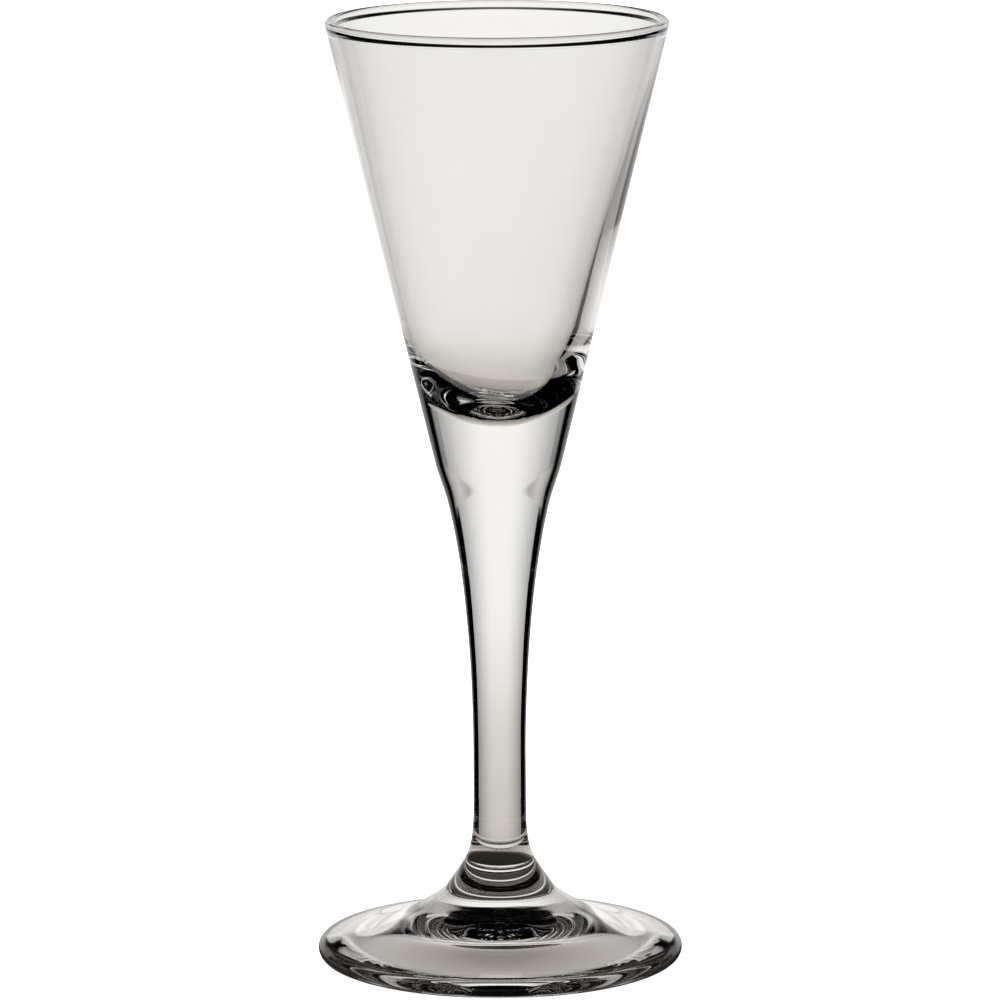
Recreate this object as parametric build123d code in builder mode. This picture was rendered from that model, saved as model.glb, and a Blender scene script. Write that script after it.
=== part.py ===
from build123d import *
from math import atan, cos, degrees, radians, sin
import os

# A stemmed cordial glass in clear glass, made of three gathers that are fused
# while hot: a flared bowl with a thick solid base, a drawn stem and a pressed
# foot. Every piece is turned about the Z axis, and the pieces meet on flat
# seams. The origin is the middle of the circle that the foot rests on, and +Z
# is up. Sizes are in millimetres, angles in degrees.

# Heights of the three pieces, which stack up to the whole glass
foot_height = 10.8
stem_length = 60.2
bowl_height = 74.0

# Bowl: a straight flare outside, and a wall that thickens downwards
rim_diameter = 52.0
shoulder_diameter = 19.5
shoulder_height = 6.5
bowl_seam_diameter = 15.5
lip_thickness = 1.4
lip_blend = 1.1
wall_at_lip = 0.75
wall_at_knee = 1.7
knee_rise = 15.0
floor_thickness = 13.3

# Stem: solid, thinnest at its waist and flared at both ends
waist_diameter = 8.1
waist_rise = 20.2
stem_seam_diameter = 16.8

# Foot: a domed top, a half-round edge, and a flat ring around a hollow underside
foot_diameter = 56.0
foot_edge_thickness = 3.1
rest_ring_width = 2.0
hollow_depth = 4.8

# Slopes of the outside where one curve runs into the next, from level. The
# stem meets the foot in a slight kink.
bowl_seam_rise = 76.5
stem_flare_fall = 56.0
hub_fall = 43.0
foot_edge_fall = 7.0

# How far the pull of each end reaches along a curve, as shares of the curve's run
cavity_shares = (0.42, 0.60)
stem_taper_shares = (0.27, 0.37)
stem_flare_shares = (0.39, 0.76)
foot_top_shares = (0.21, 0.48)
hollow_shares = (0.28, 0.60)

bowl_seam_height = foot_height + stem_length
glass_height = bowl_seam_height + bowl_height
rim_radius = rim_diameter / 2
foot_radius = foot_diameter / 2
waist_radius = waist_diameter / 2
bowl_seam_edge = (bowl_seam_diameter / 2, bowl_seam_height)
stem_seam_edge = (stem_seam_diameter / 2, foot_height)


def from_point(point, angle, reach):
    """The point that lies a reach away from another, at an angle from level."""
    return (point[0] + reach * cos(radians(angle)), point[1] + reach * sin(radians(angle)))


def direction(angle):
    """A direction at an angle from level."""
    return (cos(radians(angle)), sin(radians(angle)))


os.makedirs("parts", exist_ok=True)

# Bowl. The lip is a round bead, flush with the flare outside and proud of the
# wall inside. The wall's inner face runs straight down to a knee, where the glass
# starts to thicken, and curves in from there to the round bottom of the cavity.
lip_radius = lip_thickness / 2
lip_height = glass_height - lip_radius
lip_outside = (rim_radius, lip_height)
lip_top = (rim_radius - lip_radius, glass_height)
lip_inside = (rim_radius - lip_thickness, lip_height)
shoulder = (shoulder_diameter / 2, bowl_seam_height + shoulder_height)
flare_slope = (rim_radius - shoulder[0]) / (lip_height - shoulder[1])

cavity_floor = (0, bowl_seam_height + floor_thickness)
knee_height = cavity_floor[1] + knee_rise
wall_top = (rim_radius - flare_slope * lip_blend - wall_at_lip, lip_height - lip_blend)
knee = (shoulder[0] + flare_slope * (knee_height - shoulder[1]) - wall_at_knee, knee_height)
wall_slope = (wall_top[0] - knee[0]) / (wall_top[1] - knee[1])
wall_lean = degrees(atan(wall_slope))

with BuildPart() as bowl:
    with BuildSketch(Plane.XZ):
        with BuildLine():
            Line(cavity_floor, (0, bowl_seam_height))
            Line((0, bowl_seam_height), bowl_seam_edge)
            Spline(bowl_seam_edge, shoulder, tangents=(direction(bowl_seam_rise), (flare_slope, 1)))
            Line(shoulder, lip_outside)
            ThreePointArc(lip_outside, lip_top, lip_inside)
            Spline(lip_inside, wall_top, tangents=((0, -1), (-wall_slope, -1)))
            Line(wall_top, knee)
            Bezier(
                knee,
                from_point(knee, -90 - wall_lean, knee_rise * cavity_shares[0]),
                from_point(cavity_floor, 0, knee[0] * cavity_shares[1]),
                cavity_floor,
            )
        make_face()
    revolve(axis=Axis.Z)
bowl.part.label = "bowl"
export_step(bowl.part, "parts/bowl.step")

# Stem. It leaves the bowl on the bowl's own slope, draws in to the waist, and
# flares again to meet the foot.
waist = (waist_radius, foot_height + waist_rise)
taper_run = bowl_seam_height - waist[1]

with BuildPart() as stem:
    with BuildSketch(Plane.XZ):
        with BuildLine():
            Line((0, bowl_seam_height), (0, foot_height))
            Line((0, foot_height), stem_seam_edge)
            Bezier(
                stem_seam_edge,
                from_point(stem_seam_edge, 180 - stem_flare_fall, waist_rise * stem_flare_shares[0]),
                from_point(waist, -90, waist_rise * stem_flare_shares[1]),
                waist,
            )
            Bezier(
                waist,
                from_point(waist, 90, taper_run * stem_taper_shares[1]),
                from_point(bowl_seam_edge, bowl_seam_rise - 180, taper_run * stem_taper_shares[0]),
                bowl_seam_edge,
            )
            Line(bowl_seam_edge, (0, bowl_seam_height))
        make_face()
    revolve(axis=Axis.Z)
stem.part.label = "stem"
export_step(stem.part, "parts/stem.step")

# Foot. Its top falls from the stem's seam to the half-round edge in one curve.
edge_radius = foot_edge_thickness / 2
edge_centre = (foot_radius - edge_radius, edge_radius)
edge_top = from_point(edge_centre, 90 - foot_edge_fall, edge_radius)
edge_outside = from_point(edge_centre, 0, edge_radius)
edge_bottom = (edge_centre[0], 0)
top_run = edge_top[0] - stem_seam_edge[0]
ring_inside = (edge_bottom[0] - rest_ring_width, 0)
hollow_middle = (0, hollow_depth)

with BuildPart() as foot:
    with BuildSketch(Plane.XZ):
        with BuildLine():
            Line(hollow_middle, (0, foot_height))
            Line((0, foot_height), stem_seam_edge)
            Bezier(
                stem_seam_edge,
                from_point(stem_seam_edge, -hub_fall, top_run * foot_top_shares[0]),
                from_point(edge_top, 180 - foot_edge_fall, top_run * foot_top_shares[1]),
                edge_top,
            )
            ThreePointArc(edge_top, edge_outside, edge_bottom)
            Line(edge_bottom, ring_inside)
            Bezier(
                ring_inside,
                from_point(ring_inside, 180, ring_inside[0] * hollow_shares[0]),
                from_point(hollow_middle, 0, ring_inside[0] * hollow_shares[1]),
                hollow_middle,
            )
        make_face()
    revolve(axis=Axis.Z)
foot.part.label = "foot"
export_step(foot.part, "parts/foot.step")
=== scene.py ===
"""A stemmed cordial glass in clear glass, and the plain studio it stands in.

The glass is turned about the Z axis and stands on the floor at the origin. Its
three gathers, the bowl, the stem and the foot, are modelled as three closed
skins that meet at the flat seams where the hot gathers were fused. All sizes of
the glass are in millimetres, and one factor turns them into the scene's metres.
"""

import logging
import math
from abc import ABC, abstractmethod
from dataclasses import dataclass, field, replace
from enum import Enum, IntEnum
from typing import Any

import bmesh
import bpy
from mathutils import Matrix, Vector


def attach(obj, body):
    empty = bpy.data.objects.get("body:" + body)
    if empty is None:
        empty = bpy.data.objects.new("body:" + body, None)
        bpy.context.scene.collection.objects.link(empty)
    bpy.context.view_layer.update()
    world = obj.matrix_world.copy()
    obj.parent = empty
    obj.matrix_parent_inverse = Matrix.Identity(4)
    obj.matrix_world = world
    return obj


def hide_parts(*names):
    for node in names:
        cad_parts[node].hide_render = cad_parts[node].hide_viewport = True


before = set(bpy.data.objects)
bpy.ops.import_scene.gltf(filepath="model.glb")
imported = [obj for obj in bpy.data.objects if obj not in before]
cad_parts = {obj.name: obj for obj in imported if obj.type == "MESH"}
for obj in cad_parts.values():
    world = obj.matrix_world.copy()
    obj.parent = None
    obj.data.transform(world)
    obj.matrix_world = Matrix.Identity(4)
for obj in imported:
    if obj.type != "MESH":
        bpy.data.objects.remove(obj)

log = logging.getLogger("cordial_glass")

MM = 0.001
PHOTO_PIXELS = 1000

# Heights in millimetres that are less than this apart count as the same.
NEAR = 0.01

# How many faces light crosses on its straight way through one wall of the bowl, and
# through both.
ONE_WALL = 2.0
BOTH_WALLS = 4.0

# How many seams the glass has, from the foot up to the bowl.
SEAMS = 2

BLACK = "#000000"
WHITE = "#FFFFFF"

Point = tuple[float, float]


class Part(Enum):
    """The three gathers of glass, by the names of their solids."""

    BOWL = "bowl"
    STEM = "stem"
    FOOT = "foot"


class Slot(Enum):
    """The finishes that the part's record lists."""

    CLEAR_GLASS = "clear_glass"


class Skin(IntEnum):
    """What a band of a piece's skin is: open to the air, or fused to a neighbour."""

    POLISHED = 0
    FUSED = 1


def linear_colour(code: str) -> tuple[float, float, float, float]:
    """Turn an sRGB hex colour into the linear colour that a shader takes.

    Args:
        code: the colour as "#RRGGBB".

    Returns:
        Linear red, green and blue, and an alpha of 1.
    """
    parts = [int(code[i : i + 2], 16) / 255 for i in (1, 3, 5)]
    linear = [p / 12.92 if p <= 0.04045 else ((p + 0.055) / 1.055) ** 2.4 for p in parts]
    return (linear[0], linear[1], linear[2], 1.0)


def add_node(
    tree: bpy.types.NodeTree,
    kind: str,
    inputs: dict[int | str, Any] | None = None,
    **settings: Any,
) -> bpy.types.Node:
    """Add one node with its settings and links.

    Args:
        tree: the node tree that gets the node.
        kind: the node's type name.
        inputs: for each input socket, a number, a colour or the output socket
            that is linked to it.
        settings: values of the node's own properties.

    Returns:
        The new node.
    """
    node = tree.nodes.new(kind)
    for name, value in settings.items():
        setattr(node, name, value)
    for socket, value in (inputs or {}).items():
        if isinstance(value, bpy.types.NodeSocket):
            tree.links.new(value, node.inputs[socket])
        else:
            node.inputs[socket].default_value = value
    return node


def set_stops(ramp: bpy.types.ColorRamp, stops: list[tuple[float, tuple]]) -> None:
    """Give a colour ramp its stops.

    Args:
        ramp: the ramp to fill.
        stops: the place along the ramp, from 0 to 1, and the colour of each stop.
    """
    ramp.interpolation = "LINEAR"
    while len(ramp.elements) < len(stops):
        ramp.elements.new(1.0)
    for element, (place, colour) in zip(ramp.elements, stops):
        element.position = place
        element.color = colour


def empty_tree(owner: bpy.types.Material | bpy.types.World) -> bpy.types.NodeTree:
    """Clear the node tree of a material or world.

    Args:
        owner: the material or world.

    Returns:
        Its node tree, with nothing in it.
    """
    owner.use_nodes = True
    owner.node_tree.nodes.clear()
    return owner.node_tree


def share_across(
    tree: bpy.types.NodeTree, towards: bpy.types.NodeSocket, across: tuple[Point, ...]
) -> bpy.types.NodeSocket:
    """Dim a light to its sides.

    Args:
        tree: the node tree to add to.
        towards: the cosine of the angle off the light's middle.
        across: how many degrees off the middle, and the share of light there.

    Returns:
        The share of light, as a grey colour.
    """
    aside = add_node(tree, "ShaderNodeMath", {0: towards}, operation="ARCCOSINE")
    turned = add_node(
        tree, "ShaderNodeMath", {0: aside.outputs[0], 1: math.pi}, operation="DIVIDE"
    )
    shares = add_node(tree, "ShaderNodeValToRGB", {0: turned.outputs[0]})
    greys = [(turn / 180, (light, light, light, 1.0)) for turn, light in across]
    set_stops(shares.color_ramp, greys)
    return shares.outputs[0]


def crossed_only(
    tree: bpy.types.NodeTree, faces: float, last: float = 0.0
) -> bpy.types.NodeSocket:
    """Tell whether light has gone straight through some faces of glass.

    Light that goes through both thin walls of the bowl crosses four, and through one
    wall two. Light that was thrown back inside the glass on its way doesn't count.

    Args:
        tree: the node tree to add to.
        faces: how many faces it has crossed.
        last: 1 in the world, which counts itself as one more step.

    Returns:
        A socket that is 1 for that light and 0 for any other.
    """
    light = add_node(tree, "ShaderNodeLightPath")
    counts = {"Ray Depth": faces + last, "Transmission Depth": faces}
    crossed = [
        add_node(
            tree,
            "ShaderNodeMath",
            {0: light.outputs[name], 1: count, 2: 0.5},
            operation="COMPARE",
        )
        for name, count in counts.items()
    ]
    both = add_node(
        tree,
        "ShaderNodeMath",
        {0: crossed[0].outputs[0], 1: crossed[1].outputs[0]},
        operation="MULTIPLY",
    )
    return both.outputs[0]


def below_bowl_only(tree: bpy.types.NodeTree) -> bpy.types.NodeSocket:
    """Tell whether light has passed one of the glass's two seams at most.

    Args:
        tree: the node tree to add to.

    Returns:
        A socket that is 1 for that light, and 0 for light between the foot and the
        bowl, which passes both.
    """
    light = add_node(tree, "ShaderNodeLightPath")
    few = add_node(
        tree,
        "ShaderNodeMath",
        {0: light.outputs["Transparent Depth"], 1: SEAMS - 0.5},
        operation="LESS_THAN",
    )
    return few.outputs[0]


@dataclass(frozen=True)
class FirePolishedGlass:
    """Clear soda-lime glass, blown or pressed hot and then fire polished.

    The flame melts the outermost skin, so the glass has no grain and no haze: it
    is as smooth as a liquid and shows only bent light. What is left of the making
    are cords, streaks of slightly different melt along the way the glass was
    drawn, which the eye takes in as a very faint change of tint.
    """

    name: str = "clear_soda_lime_glass_fire_polished"
    tint: str = WHITE
    cord_tint: str = "#FEFDFC"
    ior: float = 1.52
    roughness: float = 0.0
    let_through: str = "#F4F3F2"
    cord_width: float = 5.0
    cord_length: float = 30.0

    def make(self) -> bpy.types.Material:
        """Build the material.

        Returns:
            The glass, with its faint cords and a light shadow.
        """
        material = bpy.data.materials.new(self.name)
        tree = empty_tree(material)
        place = add_node(tree, "ShaderNodeTexCoord")
        # The cords run up the glass, so the noise is stretched along Z.
        drawn = add_node(
            tree,
            "ShaderNodeMapping",
            {
                "Vector": place.outputs["Object"],
                "Scale": (1.0, 1.0, self.cord_width / self.cord_length),
            },
        )
        cords = add_node(
            tree,
            "ShaderNodeTexNoise",
            {
                "Vector": drawn.outputs["Vector"],
                "Scale": 1.0 / (self.cord_width * MM),
                "Detail": 0.0,
            },
        )
        tint = add_node(
            tree,
            "ShaderNodeMix",
            {
                0: cords.outputs[0],
                6: linear_colour(self.tint),
                7: linear_colour(self.cord_tint),
            },
            data_type="RGBA",
        )
        glass = add_node(
            tree,
            "ShaderNodeBsdfPrincipled",
            {
                "Base Color": tint.outputs[2],
                "Roughness": self.roughness,
                "IOR": self.ior,
                "Transmission Weight": 1.0,
            },
        )
        # Lamps reach the floor through the glass, so its shadow stays light.
        light = add_node(tree, "ShaderNodeLightPath")
        clear = add_node(
            tree, "ShaderNodeBsdfTransparent", {"Color": linear_colour(self.let_through)}
        )
        both = add_node(
            tree,
            "ShaderNodeMixShader",
            {0: light.outputs["Is Shadow Ray"], 1: glass.outputs[0], 2: clear.outputs[0]},
        )
        add_node(tree, "ShaderNodeOutputMaterial", {"Surface": both.outputs[0]})
        return material


@dataclass(frozen=True)
class FusedJoin:
    """Glass melted into glass: inside the solid there is no surface left to see."""

    name: str = "fused_glass_join"
    colour: str = WHITE

    def make(self) -> bpy.types.Material:
        """Build the material.

        Returns:
            A join that lets everything through unbent.
        """
        material = bpy.data.materials.new(self.name)
        tree = empty_tree(material)
        through = add_node(tree, "ShaderNodeBsdfTransparent", {"Color": linear_colour(self.colour)})
        add_node(tree, "ShaderNodeOutputMaterial", {"Surface": through.outputs[0]})
        return material


@dataclass(frozen=True)
class MattWhiteCard:
    """Smooth white card with a matt coating, as photographers' sweeps are made of.

    It has no gloss at all, so the eye sees one even white with no edge to it, in which
    only the soft shadow of the glass shows.
    """

    name: str = "matt_white_card"
    colour: str = WHITE
    glow: float = 0.80

    def make(self) -> bpy.types.Material:
        """Build the material.

        Returns:
            The card, which the camera sees lit nearly to white all over.
        """
        material = bpy.data.materials.new(self.name)
        tree = empty_tree(material)
        card = add_node(tree, "ShaderNodeBsdfDiffuse", {"Color": linear_colour(self.colour)})
        light = add_node(tree, "ShaderNodeLightPath")
        shine = add_node(
            tree,
            "ShaderNodeEmission",
            {"Color": linear_colour(self.colour), "Strength": self.glow},
        )
        dark = add_node(
            tree, "ShaderNodeEmission", {"Color": linear_colour(BLACK), "Strength": 0.0}
        )
        seen = add_node(
            tree,
            "ShaderNodeMixShader",
            {0: light.outputs["Is Camera Ray"], 1: dark.outputs[0], 2: shine.outputs[0]},
        )
        both = add_node(tree, "ShaderNodeAddShader", {0: card.outputs[0], 1: seen.outputs[0]})
        add_node(tree, "ShaderNodeOutputMaterial", {"Surface": both.outputs[0]})
        return material


@dataclass(frozen=True)
class Station:
    """One ring of a turned skin, and what the band is that leads to it."""

    radius: float
    height: float
    skin: Skin


@dataclass
class Section:
    """The half section of a turned piece, drawn from one end on the axis to the other."""

    stations: list[Station] = field(default_factory=list)

    def start(self, point: Point) -> None:
        """Set the first ring."""
        self.stations.append(Station(point[0], point[1], Skin.POLISHED))

    def line(self, point: Point, steps: int = 1, skin: Skin = Skin.POLISHED) -> None:
        """Run straight to a point.

        Args:
            point: where the line ends.
            steps: how many bands it makes.
            skin: what these bands are.
        """
        last = self.stations[-1]
        for i in range(1, steps + 1):
            t = i / steps
            radius = last.radius + (point[0] - last.radius) * t
            height = last.height + (point[1] - last.height) * t
            self.stations.append(Station(radius, height, skin))

    def curve(self, leaving: Point, arriving: Point, point: Point, steps: int) -> None:
        """Run along a cubic curve.

        Args:
            leaving: the point that pulls the curve's start.
            arriving: the point that pulls the curve's end.
            point: where the curve ends.
            steps: how many bands it makes.
        """
        last = self.stations[-1]
        first = (last.radius, last.height)
        for i in range(1, steps + 1):
            t = i / steps
            shares = ((1 - t) ** 3, 3 * (1 - t) ** 2 * t, 3 * (1 - t) * t**2, t**3)
            pulls = (first, leaving, arriving, point)
            radius = sum(s * p[0] for s, p in zip(shares, pulls))
            height = sum(s * p[1] for s, p in zip(shares, pulls))
            self.stations.append(Station(radius, height, Skin.POLISHED))

    def arc(self, centre: Point, radius: float, first: float, last: float, steps: int) -> None:
        """Run along part of a circle.

        Args:
            centre: the circle's middle.
            radius: its radius.
            first: the angle where the arc starts, from level, in degrees.
            last: the angle where it ends.
            steps: how many bands it makes.
        """
        for i in range(1, steps + 1):
            point = off(centre, first + (last - first) * i / steps, radius)
            self.stations.append(Station(point[0], point[1], Skin.POLISHED))


@dataclass(frozen=True)
class Wave:
    """One wave of the faint unevenness that hot work leaves in a skin.

    Attributes:
        size: its height, as a share of the piece's own measure.
        around: how many crests it has round the axis.
        along: how far it winds, in radians for each millimetre along the skin.
        start: where it starts, in radians.
    """

    size: float
    around: int
    along: float
    start: float

    def at(self, turn: float, way: float) -> float:
        """Return the wave's height at an angle about Z and a way along the skin."""
        return self.size * math.sin(self.around * turn + self.along * way + self.start)


def ease(value: float, low: float, high: float) -> float:
    """Return how far a value has gone from low to high, eased, from 0 to 1."""
    share = min(max((value - low) / (high - low), 0.0), 1.0)
    return share * share * (3 - 2 * share)


def off(point: Point, angle: float, reach: float) -> Point:
    """Return the point a reach away from another, at an angle from level in degrees."""
    turn = math.radians(angle)
    return (point[0] + reach * math.cos(turn), point[1] + reach * math.sin(turn))


@dataclass
class TurnedGlass(ABC):
    """A gather of glass that was spun while hot, so that it is round about Z."""

    part: Part
    waves: tuple[Wave, ...] = ()
    sides: int = 256
    crease: float = 40.0

    @abstractmethod
    def section(self) -> Section:
        """Draw the half section of the piece."""

    def wave(self, turn: float, way: float) -> float:
        """Return the height of all the waves at an angle and a way along the skin."""
        return sum(wave.at(turn, way) for wave in self.waves)

    def crest(self) -> float:
        """Return the height that the waves never pass."""
        return sum(wave.size for wave in self.waves)

    def waver(self, turn: float, station: Station) -> Point:
        """Return how far a point of the skin strays from round, outwards and upwards.

        Args:
            turn: the angle about Z, in radians.
            station: the ring that the point is on.

        Returns:
            The two shifts in millimetres.
        """
        return (0.0, 0.0)

    def build(self, glass: bpy.types.Material, join: bpy.types.Material) -> bpy.types.Object:
        """Turn the section into a closed skin and dress it.

        Args:
            glass: the material of the skin in the air.
            join: the material of the faces that are fused to a neighbour.

        Returns:
            The finished piece.
        """
        stations = self.section().stations
        mesh = bmesh.new()
        rings = [self.ring(mesh, station) for station in stations]
        for station, lower, upper in zip(stations[1:], rings, rings[1:]):
            self.band(mesh, lower, upper, station.skin)
        bmesh.ops.recalc_face_normals(mesh, faces=mesh.faces)
        for edge in mesh.edges:
            skins = {face.material_index for face in edge.link_faces}
            edge.smooth = len(skins) == 1 and edge.calc_face_angle(0.0) < math.radians(self.crease)
        data = bpy.data.meshes.new(f"glass_{self.part.value}")
        mesh.to_mesh(data)
        mesh.free()
        data.materials.append(glass)
        data.materials.append(join)
        piece = bpy.data.objects.new(f"glass_{self.part.value}", data)
        bpy.context.scene.collection.objects.link(piece)
        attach(piece, "root")
        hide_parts(self.part.value)
        log.info("%s: %d rings, %d faces", piece.name, len(rings), len(data.polygons))
        return piece

    def ring(self, mesh: bmesh.types.BMesh, station: Station) -> list[bmesh.types.BMVert]:
        """Add the points of one ring.

        Args:
            mesh: the mesh being built.
            station: the ring.

        Returns:
            The ring's points, or the one point of a ring on the axis.
        """
        if station.radius < 1e-6:
            return [mesh.verts.new((0.0, 0.0, station.height * MM))]
        points = []
        for i in range(self.sides):
            turn = math.tau * i / self.sides
            outwards, upwards = self.waver(turn, station)
            radius = (station.radius + outwards) * MM
            height = (station.height + upwards) * MM
            place = (radius * math.cos(turn), radius * math.sin(turn), height)
            points.append(mesh.verts.new(place))
        return points

    def band(
        self,
        mesh: bmesh.types.BMesh,
        lower: list[bmesh.types.BMVert],
        upper: list[bmesh.types.BMVert],
        skin: Skin,
    ) -> None:
        """Join two rings with faces.

        Args:
            mesh: the mesh being built.
            lower: the ring that the band starts at.
            upper: the ring that it leads to.
            skin: what the band is.
        """
        for i in range(self.sides):
            here, there = i, (i + 1) % self.sides
            if len(lower) == 1:
                corners = (lower[0], upper[there], upper[here])
            elif len(upper) == 1:
                corners = (lower[here], lower[there], upper[0])
            else:
                corners = (lower[here], lower[there], upper[there], upper[here])
            face = mesh.faces.new(corners)
            face.smooth = True
            face.material_index = int(skin)


@dataclass
class Bowl(TurnedGlass):
    """The flared cup with its thick solid base.

    Attributes:
        wave_depth: the waves of the cavity, sideways and upwards.
        lean: how far the cavity stands to one side.
        lean_start: the rises above the cavity's bottom where the lean begins and is full.
        lean_end: the rises where it starts to fade and has gone.
        ripple: the measure of the waves.
        ripple_end: the rises where they start to fade and have gone.
    """

    part: Part = Part.BOWL
    waves: tuple[Wave, ...] = (
        Wave(1.0, 3, 0.35, 0.6),
        Wave(0.8, 5, -0.55, 2.1),
        Wave(0.5, 9, 0.9, 4.0),
    )
    wave_depth: Point = (0.5, 0.6)
    seam_height: float = 71.0
    height: float = 74.0
    rim_radius: float = 26.0
    shoulder: Point = (9.75, 77.5)
    seam_radius: float = 7.75
    seam_rise: float = 76.5
    lip_thickness: float = 1.4
    lip_blend: float = 1.1
    wall_at_lip: float = 0.75
    wall_at_knee: float = 1.7
    floor_thickness: float = 13.3
    knee_rise: float = 15.0
    cavity_shares: Point = (0.42, 0.60)
    lean: float = 0.9
    lean_start: Point = (1.0, 10.0)
    lean_end: Point = (17.0, 55.0)
    ripple: float = 0.035
    ripple_end: Point = (12.0, 24.0)

    def flare(self) -> float:
        """Return how far the outside widens for each millimetre that it rises."""
        lip_height = self.seam_height + self.height - self.lip_thickness / 2
        return (self.rim_radius - self.shoulder[0]) / (lip_height - self.shoulder[1])

    def waver(self, turn: float, station: Station) -> Point:
        """Let the cavity stray: the blown bubble sat a little to one side near its end.

        The outside was shaped in a mould and is true. The cavity's bottom is
        slightly rippled where the bubble met the cooler glass of the base.

        Args:
            turn: the angle about Z, in radians.
            station: the ring that the point is on.

        Returns:
            The two shifts in millimetres.
        """
        rise = station.height - self.seam_height - self.floor_thickness
        outside = self.shoulder[0] + self.flare() * (station.height - self.shoulder[1])
        if rise < -NEAR or station.radius > outside - self.wall_at_lip / 2:
            return (0.0, 0.0)
        aside = self.lean * (1 - ease(rise, *self.lean_end)) * ease(rise, *self.lean_start)
        rough = self.ripple * (1 - ease(rise, *self.ripple_end))
        wave = self.wave(turn, rise)
        outwards, upwards = self.wave_depth
        return (-aside * math.cos(turn) + rough * wave * outwards, rough * wave * upwards)

    def section(self) -> Section:
        """Draw the bowl.

        Returns:
            The bowl from the middle of its seam, up the outside and down the cavity.
        """
        lip_radius = self.lip_thickness / 2
        lip_height = self.seam_height + self.height - lip_radius
        flare = self.flare()
        seam = (self.seam_radius, self.seam_height)
        pull = math.dist(seam, self.shoulder) / 3
        floor = self.seam_height + self.floor_thickness
        knee_height = floor + self.knee_rise
        outer_knee = self.shoulder[0] + flare * (knee_height - self.shoulder[1])
        knee = (outer_knee - self.wall_at_knee, knee_height)
        wall_top = (
            self.rim_radius - flare * self.lip_blend - self.wall_at_lip,
            lip_height - self.lip_blend,
        )
        slope = (wall_top[0] - knee[0]) / (wall_top[1] - knee[1])
        lean = math.degrees(math.atan(slope))

        section = Section()
        section.start((0.0, self.seam_height))
        section.line(seam, skin=Skin.FUSED)
        section.curve(
            off(seam, self.seam_rise, pull),
            off(self.shoulder, math.degrees(math.atan(1 / flare)) - 180, pull),
            self.shoulder,
            steps=20,
        )
        section.line((self.rim_radius, lip_height), steps=90)
        section.arc((self.rim_radius - lip_radius, lip_height), lip_radius, 0, 180, steps=20)
        inside = (self.rim_radius - self.lip_thickness, lip_height)
        reach = self.lip_blend / 3
        section.curve(
            off(inside, -90, reach),
            (wall_top[0] + slope * reach, wall_top[1] + reach),
            wall_top,
            steps=8,
        )
        section.line(knee, steps=80)
        section.curve(
            off(knee, -90 - lean, self.knee_rise * self.cavity_shares[0]),
            (knee[0] * self.cavity_shares[1], floor),
            (0.0, floor),
            steps=70,
        )
        return section


@dataclass
class Stem(TurnedGlass):
    """The solid drawn stem, thinnest at its waist and flared at both ends.

    Attributes:
        sway: the measure of its waves.
        held: how far from either seam the sway takes to come in full.
    """

    part: Part = Part.STEM
    waves: tuple[Wave, ...] = (Wave(1.0, 1, 0.33, 0.0), Wave(0.7, 2, -0.52, 1.3))
    foot_height: float = 10.8
    length: float = 60.2
    seam_radius: float = 8.4
    top_radius: float = 7.75
    top_rise: float = 76.5
    flare_fall: float = 56.0
    waist_radius: float = 4.05
    waist_rise: float = 20.2
    flare_shares: Point = (0.39, 0.76)
    taper_shares: Point = (0.27, 0.37)
    sway: float = 0.02
    held: float = 6.0

    def waver(self, turn: float, station: Station) -> Point:
        """Let the drawn stem run a little unevenly between its two seams.

        Args:
            turn: the angle about Z, in radians.
            station: the ring that the point is on.

        Returns:
            The two shifts in millimetres, never outwards.
        """
        rise = station.height - self.foot_height
        free = ease(rise, 0.0, self.held)
        free *= 1 - ease(rise, self.length - self.held, self.length)
        return (-self.sway * free * (self.crest() + self.wave(turn, rise)) / 2, 0.0)

    def section(self) -> Section:
        """Draw the stem.

        Returns:
            The stem from the middle of its lower seam to the middle of its upper one.
        """
        seam = (self.seam_radius, self.foot_height)
        waist = (self.waist_radius, self.foot_height + self.waist_rise)
        top = (self.top_radius, self.foot_height + self.length)
        taper = top[1] - waist[1]
        section = Section()
        section.start((0.0, self.foot_height))
        section.line(seam, skin=Skin.FUSED)
        section.curve(
            off(seam, 180 - self.flare_fall, self.waist_rise * self.flare_shares[0]),
            off(waist, -90, self.waist_rise * self.flare_shares[1]),
            waist,
            steps=60,
        )
        section.curve(
            off(waist, 90, taper * self.taper_shares[1]),
            off(top, self.top_rise - 180, taper * self.taper_shares[0]),
            top,
            steps=70,
        )
        section.line((0.0, top[1]), skin=Skin.FUSED)
        return section


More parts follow.
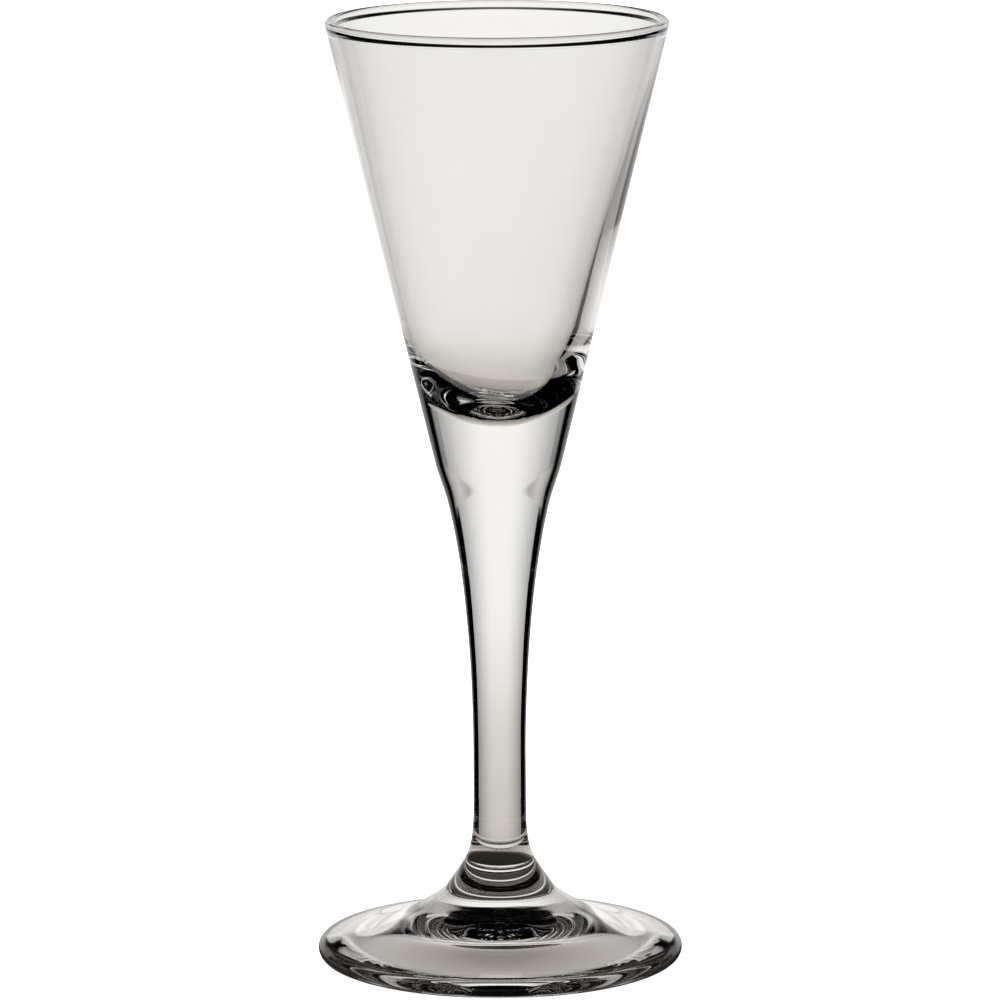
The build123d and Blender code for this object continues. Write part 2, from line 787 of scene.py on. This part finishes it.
@dataclass
class Foot(TurnedGlass):
    """The pressed round foot, with its domed top, round edge and hollow underside.

    Attributes:
        ripple: the measure of its waves.
        top_start: how far outside the seam the waves of its top take to come in full.
        top_end: the radii where they start to fade and have gone.
        hollow_start: the radius where the waves of its hollow are full.
        hollow_end: the radii where they start to fade and have gone.
    """

    part: Part = Part.FOOT
    waves: tuple[Wave, ...] = (
        Wave(1.0, 4, 0.4, 1.0),
        Wave(0.8, 7, -0.7, 0.0),
        Wave(0.5, 13, 1.1, 2.4),
    )
    height: float = 10.8
    radius: float = 28.0
    seam_radius: float = 8.4
    hub_fall: float = 43.0
    edge_thickness: float = 3.1
    edge_fall: float = 7.0
    top_shares: Point = (0.21, 0.48)
    ring_width: float = 2.0
    hollow_depth: float = 4.8
    hollow_shares: Point = (0.28, 0.60)
    ripple: float = 0.005
    top_start: float = 4.0
    top_end: Point = (21.0, 25.0)
    hollow_start: float = 4.0
    hollow_end: Point = (20.0, 24.0)

    def waver(self, turn: float, station: Station) -> Point:
        """Let the pressed foot ripple a little on top and in its hollow.

        Args:
            turn: the angle about Z, in radians.
            station: the ring that the point is on.

        Returns:
            The two shifts in millimetres, which leave the ring it rests on flat.
        """
        out = station.radius
        hollow = station.height < self.hollow_depth + NEAR
        if hollow and out < self.radius - self.edge_thickness:
            free = ease(out, 0.0, self.hollow_start) * (1 - ease(out, *self.hollow_end))
        else:
            free = ease(out, self.seam_radius, self.seam_radius + self.top_start)
            free *= 1 - ease(out, *self.top_end)
        return (0.0, self.ripple * free * (self.wave(turn, out) - self.crest()) / 2)

    def section(self) -> Section:
        """Draw the foot.

        Returns:
            The foot from the top of its hollow, round the edge and up to its seam.
        """
        bead = self.edge_thickness / 2
        edge = (self.radius - bead, bead)
        edge_top = off(edge, 90 - self.edge_fall, bead)
        seam = (self.seam_radius, self.height)
        run = edge_top[0] - seam[0]
        ring_inside = (edge[0] - self.ring_width, 0.0)
        middle = (0.0, self.hollow_depth)
        section = Section()
        section.start(middle)
        section.curve(
            off(middle, 0, ring_inside[0] * self.hollow_shares[1]),
            off(ring_inside, 180, ring_inside[0] * self.hollow_shares[0]),
            ring_inside,
            steps=80,
        )
        section.line((edge[0], 0.0))
        section.arc(edge, bead, -90, 90 - self.edge_fall, steps=30)
        section.curve(
            off(edge_top, 180 - self.edge_fall, run * self.top_shares[1]),
            off(seam, -self.hub_fall, run * self.top_shares[0]),
            seam,
            steps=90,
        )
        section.line((0.0, self.height), skin=Skin.FUSED)
        return section


@dataclass(frozen=True)
class Panel:
    """A soft bright panel far away, as the glass sees it.

    Attributes:
        heading: the way to the panel's middle about Z, in degrees from +X.
        across: how many degrees off the middle, and the share of light there.
        upright: how many degrees above level, and the colour there.
    """

    heading: float
    across: tuple[Point, ...]
    upright: tuple[tuple[float, str], ...]


# The white sweep behind the glass as the camera looks at it. It dims to the sides
# and towards the table, which is what gives the glass its grey shades, and there
# is nothing bright above it, so the thick parts of the glass have black in them.
SWEEP_WIDTH = (
    (0, 1.0),
    (10, 0.98),
    (14, 0.93),
    (18, 0.86),
    (22, 0.79),
    (28, 0.68),
    (33, 0.58),
    (39, 0.49),
    (42, 0.44),
    (43.5, 0.0),
)
SWEEP = Panel(
    heading=90.0,
    across=SWEEP_WIDTH,
    upright=(
        (-72, "#12100F"),
        (-62, "#AAA29A"),
        (-46, "#BEB6AE"),
        (-38, "#C6BEB7"),
        (-30, "#CAC3BC"),
        (-20, "#D0CAC4"),
        (-14, "#D6D1CB"),
        (-12, "#FFFEFC"),
        (12, "#FFFEFC"),
        (14, "#8A8784"),
        (17, BLACK),
    ),
)

# The upper corners of the sweep, lit a little by the lamps beside it.
CORNER_WIDTH = ((0, 0.70), (8, 0.56), (14, 0.34), (18, 0.0))
CORNER_TONES = ((8, BLACK), (11, "#F4F1EE"), (19, "#F4F1EE"), (23, BLACK))
LEFT_CORNER = Panel(heading=124.0, across=CORNER_WIDTH, upright=CORNER_TONES)
RIGHT_CORNER = Panel(heading=56.0, across=CORNER_WIDTH, upright=CORNER_TONES)

# Low light far off on the camera's side of the glass, which lies behind the glass for
# someone who walks round it.
FAR_SIDE = Panel(
    heading=270.0,
    across=((0, 1.0), (84, 1.0), (92, 0.5), (96, 0.0)),
    upright=((-5, BLACK), (-3, "#F4F1EE"), (17, "#F4F1EE"), (22, BLACK)),
)

# The even surround that shows through the thin walls of the bowl from every side.
SURROUND = Panel(
    heading=270.0,
    across=((0, 0.92), (112, 0.90), (126, 0.72), (140, 0.50), (150, 0.40), (180, 0.40)),
    upright=(
        (-72, "#8A837C"),
        (-46, "#CFC9C3"),
        (-25, "#E6E2DE"),
        (-10, "#F6F3F0"),
        (12, "#FBF8F5"),
        (14, "#8A8784"),
        (17, BLACK),
    ),
)


@dataclass(frozen=True)
class PaintedTableShade:
    """A glowing patch of painted shade and painted light on the white table, which only the glass
    that stands on it sees.

    Attributes:
        name: the patch's name.
        inner_radius: where the patch starts, from the axis, in millimetres.
        outer_radius: where it ends.
        spread: how wide a sector it is, in degrees.
        heading: the way to the sector's middle about Z, in degrees from +X.
        steps: distances from the darkest spot in millimetres, and the painted shade there.
        across: how many degrees off the way the camera looks, and the share of light.
        place: where the patch's own middle lies.
        middle: the darkest spot, from there.
        straight: whether only light that has gone straight through the glass shows it.
        bowl_only: whether it lights the bowl alone.
        stays_low: whether its light doesn't come up the stem as far as the bowl.
    """

    name: str
    inner_radius: float
    outer_radius: float
    spread: float
    steps: tuple[tuple[float, str], ...]
    across: tuple[Point, ...] = ((0, 1.0), (180, 1.0))
    heading: float = 90.0
    place: tuple[float, float, float] = (0.0, 0.0, 0.0)
    middle: tuple[float, float, float] = (0.0, 0.0, 0.0)
    straight: bool = False
    bowl_only: bool = False
    stays_low: bool = False

    def make(self) -> bpy.types.Material:
        """Build the patch's material.

        Returns:
            A glow of painted table shade, darker or lighter, as the glass sees it.
        """
        material = bpy.data.materials.new(f"glow_patch_{self.name}")
        tree = empty_tree(material)
        place = add_node(tree, "ShaderNodeTexCoord").outputs["Object"]
        middle = tuple(value * MM for value in self.middle)
        reach = add_node(
            tree, "ShaderNodeVectorMath", {0: place, 1: middle}, operation="DISTANCE"
        )
        farthest = self.outer_radius + math.hypot(*self.middle)
        share = add_node(
            tree,
            "ShaderNodeMath",
            {0: reach.outputs["Value"], 1: farthest * MM},
            operation="DIVIDE",
        )
        # The ramp paints the shade by distance from the darkest spot.
        tones = add_node(tree, "ShaderNodeValToRGB", {0: share.outputs[0]})
        stops = [(out / farthest, linear_colour(code)) for out, code in self.steps]
        set_stops(tones.color_ramp, stops)
        away = add_node(tree, "ShaderNodeVectorMath", {0: place}, operation="NORMALIZE")
        ahead = add_node(tree, "ShaderNodeSeparateXYZ", {0: away.outputs[0]})
        across = share_across(tree, ahead.outputs["Y"], self.across)
        lit = add_node(
            tree,
            "ShaderNodeMix",
            {0: 1.0, 6: tones.outputs[0], 7: across},
            data_type="RGBA",
            blend_type="MULTIPLY",
        )
        strength: Any = 1.0
        if self.straight:
            strength = crossed_only(tree, ONE_WALL)
        elif self.stays_low:
            strength = below_bowl_only(tree)
        # The patch glows with its painted shade and light; no lamp lights it and only the glass
        # sees it.
        shade = add_node(
            tree, "ShaderNodeEmission", {"Color": lit.outputs[2], "Strength": strength}
        )
        if self.straight:
            clear = add_node(tree, "ShaderNodeBsdfTransparent", {"Color": linear_colour(WHITE)})
            shade = add_node(
                tree,
                "ShaderNodeMixShader",
                {0: crossed_only(tree, BOTH_WALLS), 1: shade.outputs[0], 2: clear.outputs[0]},
            )
        add_node(tree, "ShaderNodeOutputMaterial", {"Surface": shade.outputs[0]})
        return material


# Painted shade of the table under the foot, standing in for the glass's own shadow, darkest below
# the stem.
UNDER_FOOT = PaintedTableShade(
    name="painted_shade_under_foot",
    inner_radius=0.1,
    outer_radius=24.4,
    spread=360.0,
    steps=(
        (0.0, "#968E86"),
        (5.0, "#9C948D"),
        (9.0, "#AEA7A1"),
        (13.0, "#BBB5AF"),
        (17.0, "#CCC7C2"),
        (21.0, "#DFDBD8"),
        (26.0, "#E8E4E1"),
    ),
    middle=(0.0, -9.0, 0.0),
    stays_low=True,
)

# A dark painted patch right below the stem, standing in for the shade where hardly any light comes
# down.
BELOW_STEM = PaintedTableShade(
    name="painted_shade_below_stem",
    inner_radius=0.05,
    outer_radius=8.8,
    spread=360.0,
    place=(1.0, 8.5, 0.05),
    steps=(
        (0.0, "#26221F"),
        (6.5, "#2F2A26"),
        (7.9, "#5E5750"),
        (8.8, "#A8A19B"),
    ),
)

# Painted deep shade on the table close around the foot, where the rounded edge hangs over it.
AROUND_FOOT = PaintedTableShade(
    name="painted_shade_around_foot",
    inner_radius=26.5,
    outer_radius=40.0,
    spread=360.0,
    steps=(
        (26.5, "#322D2A"),
        (30.0, "#3C3631"),
        (33.0, "#665F59"),
        (36.0, "#A09A95"),
        (40.0, "#E4E1DE"),
    ),
)

# Behind the glass, painted light on the table falls off towards the camera, as it does on a sweep
# that is lit from far back.
BEHIND_GLASS = PaintedTableShade(
    name="painted_shade_behind_glass",
    inner_radius=100.0,
    outer_radius=800.0,
    spread=84.0,
    steps=(
        (100.0, "#D4CFCA"),
        (145.0, "#DDD8D3"),
        (180.0, "#E2DED9"),
        (225.0, "#EAE6E2"),
        (285.0, "#F2EFEB"),
        (360.0, "#F7F4F1"),
        (450.0, "#FBF8F5"),
        (575.0, "#FEFBF8"),
        (800.0, "#FFFEFC"),
    ),
    across=SWEEP_WIDTH,
)

# On the camera's side, painted shade makes the table dim close to the glass, and painted light
# makes it light farther off.
BEFORE_GLASS = PaintedTableShade(
    name="painted_shade_before_glass",
    inner_radius=60.0,
    outer_radius=5000.0,
    spread=196.0,
    heading=270.0,
    steps=(
        (60.0, "#8E8780"),
        (120.0, "#B8B1AA"),
        (200.0, "#CFC9C3"),
        (420.0, "#E4E0DC"),
        (600.0, "#ECE9E6"),
        (5000.0, "#F4F2F0"),
    ),
    across=((0, 0.0), (82, 0.0), (88, 0.5), (98, 1.0), (180, 1.0)),
    straight=True,
)

# At either side, painted shade makes the table dark to the solid stem and foot, which gives their
# edges the black lines, and painted light makes it light to the far wall of the bowl seen over its
# rim.
SIDE_STEPS = (
    (100.0, "#A39D97"),
    (200.0, "#CFC9C3"),
    (420.0, "#E6E2DE"),
    (5000.0, "#F4F2F0"),
)
LEFT_TABLE = PaintedTableShade(
    name="painted_shade_at_left",
    inner_radius=100.0,
    outer_radius=5000.0,
    spread=58.0,
    heading=161.0,
    place=(0.0, 0.0, 0.1),
    steps=SIDE_STEPS,
    across=((0, 0.40), (44, 0.45), (60, 0.72), (80, 0.92), (180, 0.92)),
    straight=True,
    bowl_only=True,
)
RIGHT_TABLE = replace(LEFT_TABLE, name="painted_shade_at_right", heading=19.0)


@dataclass
class Studio:
    """The floor, the light and the camera.

    Lengths of the floor and the lamp are in metres. The camera's are in millimetres and
    its angles in degrees, as they were worked out from the photograph's outline.

    Attributes:
        patch_steps: how many faces a patch of table has side by side.
        darkness: what the glass sees where there is no panel.
        camera_shift: how far right of the frame's middle the axis stands, in pixels.
    """

    floor_reach: float = 6.0
    patch_steps: int = 48
    table: tuple[PaintedTableShade, ...] = (
        UNDER_FOOT,
        BELOW_STEM,
        AROUND_FOOT,
        BEHIND_GLASS,
        BEFORE_GLASS,
        LEFT_TABLE,
        RIGHT_TABLE,
    )
    panels: tuple[Panel, ...] = (SWEEP, LEFT_CORNER, RIGHT_CORNER)
    darkness: str = "#060505"
    lamp_power: float = 10.0
    lamp_size: float = 1.2
    lamp_place: tuple[float, float, float] = (-0.9, -0.5, 1.9)
    camera_distance: float = 1036.7
    camera_height: float = 263.2
    camera_pitch: float = 10.487
    camera_roll: float = 0.204
    camera_shift: float = -1.26
    lens: float = 249.1

    def build(self, bowl: bpy.types.Object) -> None:
        """Set up the whole studio.

        Args:
            bowl: the piece that some of the light is kept for.
        """
        self.lay_floor()
        for tones in self.table:
            patch = self.lay_painted_shade(tones)
            if tones.bowl_only:
                lit = bpy.data.collections.new(f"lit_by_{tones.name}")
                lit.objects.link(bowl)
                patch.light_linking.receiver_collection = lit
        self.hang_panels()
        self.hang_lamp()
        self.place_camera()
        scene = bpy.context.scene
        scene.view_settings.view_transform = "Standard"
        scene.cycles.max_bounces = 32
        scene.cycles.transmission_bounces = 32
        scene.cycles.glossy_bounces = 16
        scene.cycles.transparent_max_bounces = 16
        scene.cycles.blur_glossy = 0.0

    def lay_floor(self) -> None:
        """Lay a plain white floor that keeps the shadow of the glass.

        The glass sees the panels in place of the floor, so the floor is hidden
        from light that has passed through or off it.
        """
        reach = self.floor_reach
        data = bpy.data.meshes.new("floor")
        corners = [(-reach, -reach, 0), (reach, -reach, 0), (reach, reach, 0), (-reach, reach, 0)]
        data.from_pydata(corners, [], [(0, 1, 2, 3)])
        data.materials.append(MattWhiteCard().make())
        floor = bpy.data.objects.new("floor", data)
        bpy.context.scene.collection.objects.link(floor)
        floor.visible_transmission = False
        floor.visible_glossy = False

    def lay_painted_shade(self, tones: PaintedTableShade) -> bpy.types.Object:
        """Lay a glowing patch of painted table shade, which only the glass sees, a hair above the
        floor.

        Args:
            tones: the patch and its shades.

        Returns:
            The patch.
        """
        data = bpy.data.meshes.new(tones.name)
        mesh = bmesh.new()
        steps = self.patch_steps
        turns = [
            math.radians(tones.heading + tones.spread * (i / steps - 0.5))
            for i in range(steps + 1)
        ]
        inner = [self.table_point(mesh, tones.inner_radius, turn) for turn in turns]
        outer = [self.table_point(mesh, tones.outer_radius, turn) for turn in turns]
        for i in range(steps):
            mesh.faces.new((inner[i], outer[i], outer[i + 1], inner[i + 1]))
        mesh.to_mesh(data)
        mesh.free()
        data.materials.append(tones.make())
        patch = bpy.data.objects.new(tones.name, data)
        patch.location = tuple(value * MM for value in tones.place)
        bpy.context.scene.collection.objects.link(patch)
        patch.visible_camera = False
        patch.visible_diffuse = False
        patch.visible_shadow = False
        return patch

    def table_point(
        self, mesh: bmesh.types.BMesh, radius: float, turn: float
    ) -> bmesh.types.BMVert:
        """Add a point of the table, from its distance and its angle about Z."""
        reach = radius * MM
        return mesh.verts.new((reach * math.cos(turn), reach * math.sin(turn), 0.0))

    def hang_panels(self) -> None:
        """Make the world: white to the camera, and the panels to the glass."""
        world = bpy.data.worlds.new("studio")
        bpy.context.scene.world = world
        tree = empty_tree(world)
        place = add_node(tree, "ShaderNodeTexCoord")
        way = place.outputs["Generated"]
        split = add_node(tree, "ShaderNodeSeparateXYZ", {0: way})
        rise = add_node(tree, "ShaderNodeMath", {0: split.outputs["Z"]}, operation="ARCSINE")
        upright = add_node(
            tree,
            "ShaderNodeMath",
            {0: rise.outputs[0], 1: 1 / math.pi, 2: 0.5},
            operation="MULTIPLY_ADD",
        )
        level = add_node(
            tree, "ShaderNodeVectorMath", {0: way, 1: (1.0, 1.0, 0.0)}, operation="MULTIPLY"
        )
        flat = add_node(
            tree, "ShaderNodeVectorMath", {0: level.outputs[0]}, operation="NORMALIZE"
        )
        seen = linear_colour(self.darkness)
        for panel in self.panels:
            seen = self.add_panel(tree, panel, flat.outputs[0], upright.outputs[0], seen)
        for panel, faces in ((FAR_SIDE, ONE_WALL), (SURROUND, BOTH_WALLS)):
            added = self.add_panel(tree, panel, flat.outputs[0], upright.outputs[0], seen)
            seen = add_node(
                tree,
                "ShaderNodeMix",
                {0: crossed_only(tree, faces, 1.0), 6: seen, 7: added},
                data_type="RGBA",
            ).outputs[2]
        light = add_node(tree, "ShaderNodeLightPath")
        through = add_node(
            tree,
            "ShaderNodeMath",
            {0: light.outputs["Is Transmission Ray"], 1: light.outputs["Is Glossy Ray"]},
            operation="MAXIMUM",
        )
        plain = add_node(tree, "ShaderNodeBackground", {"Color": linear_colour(WHITE)})
        panels = add_node(tree, "ShaderNodeBackground", {"Color": seen})
        both = add_node(
            tree,
            "ShaderNodeMixShader",
            {0: through.outputs[0], 1: plain.outputs[0], 2: panels.outputs[0]},
        )
        add_node(tree, "ShaderNodeOutputWorld", {"Surface": both.outputs[0]})

    def add_panel(
        self,
        tree: bpy.types.NodeTree,
        panel: Panel,
        flat: bpy.types.NodeSocket,
        upright: bpy.types.NodeSocket,
        seen: Any,
    ) -> bpy.types.NodeSocket:
        """Add one panel to what the glass sees.

        Args:
            tree: the world's node tree.
            panel: the panel.
            flat: the level part of the way looked, one unit long.
            upright: the angle above level, from 0 at straight down to 1 at straight up.
            seen: what is there already, a colour or a socket.

        Returns:
            What is seen with the panel in it.
        """
        turn = math.radians(panel.heading)
        along = add_node(
            tree,
            "ShaderNodeVectorMath",
            {0: flat, 1: (math.cos(turn), math.sin(turn), 0.0)},
            operation="DOT_PRODUCT",
        )
        across = share_across(tree, along.outputs["Value"], panel.across)
        tones = add_node(tree, "ShaderNodeValToRGB", {0: upright})
        colours = [(rise / 180 + 0.5, linear_colour(code)) for rise, code in panel.upright]
        set_stops(tones.color_ramp, colours)
        lit = add_node(
            tree,
            "ShaderNodeMix",
            {0: 1.0, 6: across, 7: tones.outputs[0]},
            data_type="RGBA",
            blend_type="MULTIPLY",
        )
        brightest = add_node(
            tree,
            "ShaderNodeMix",
            {0: 1.0, 6: seen, 7: lit.outputs[2]},
            data_type="RGBA",
            blend_type="LIGHTEN",
        )
        return brightest.outputs[2]

    def hang_lamp(self) -> None:
        """Hang one large soft lamp, which gives the floor its faint shadow."""
        data = bpy.data.lights.new("soft_lamp", "AREA")
        data.shape = "DISK"
        data.size = self.lamp_size
        data.energy = self.lamp_power
        lamp = bpy.data.objects.new("soft_lamp", data)
        place = Vector(self.lamp_place)
        aim = place.to_track_quat("Z", "Y").to_matrix().to_4x4()
        lamp.matrix_world = Matrix.Translation(place) @ aim
        lamp.visible_glossy = False
        lamp.visible_transmission = False
        bpy.context.scene.collection.objects.link(lamp)

    def place_camera(self) -> None:
        """Stand the camera where the photograph was taken from."""
        data = bpy.data.cameras.new("camera")
        data.sensor_width = 36.0
        data.lens = self.lens
        data.shift_x = -self.camera_shift / PHOTO_PIXELS
        data.clip_start = 0.01
        data.clip_end = 100.0
        camera = bpy.data.objects.new("camera", data)
        bpy.context.scene.collection.objects.link(camera)
        camera.matrix_world = (
            Matrix.Translation((0.0, -self.camera_distance * MM, self.camera_height * MM))
            @ Matrix.Rotation(math.radians(90 - self.camera_pitch), 4, "X")
            @ Matrix.Rotation(math.radians(-self.camera_roll), 4, "Z")
        )
        bpy.context.scene.camera = camera


def main() -> None:
    """Build the glass and its studio."""
    logging.basicConfig(level=logging.INFO, format="%(name)s: %(message)s")
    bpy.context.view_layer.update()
    glass = FirePolishedGlass().make()
    join = FusedJoin().make()
    pieces = [piece.build(glass, join) for piece in (Bowl(), Stem(), Foot())]
    Studio().build(pieces[0])


if __name__ == "__main__":
    main()
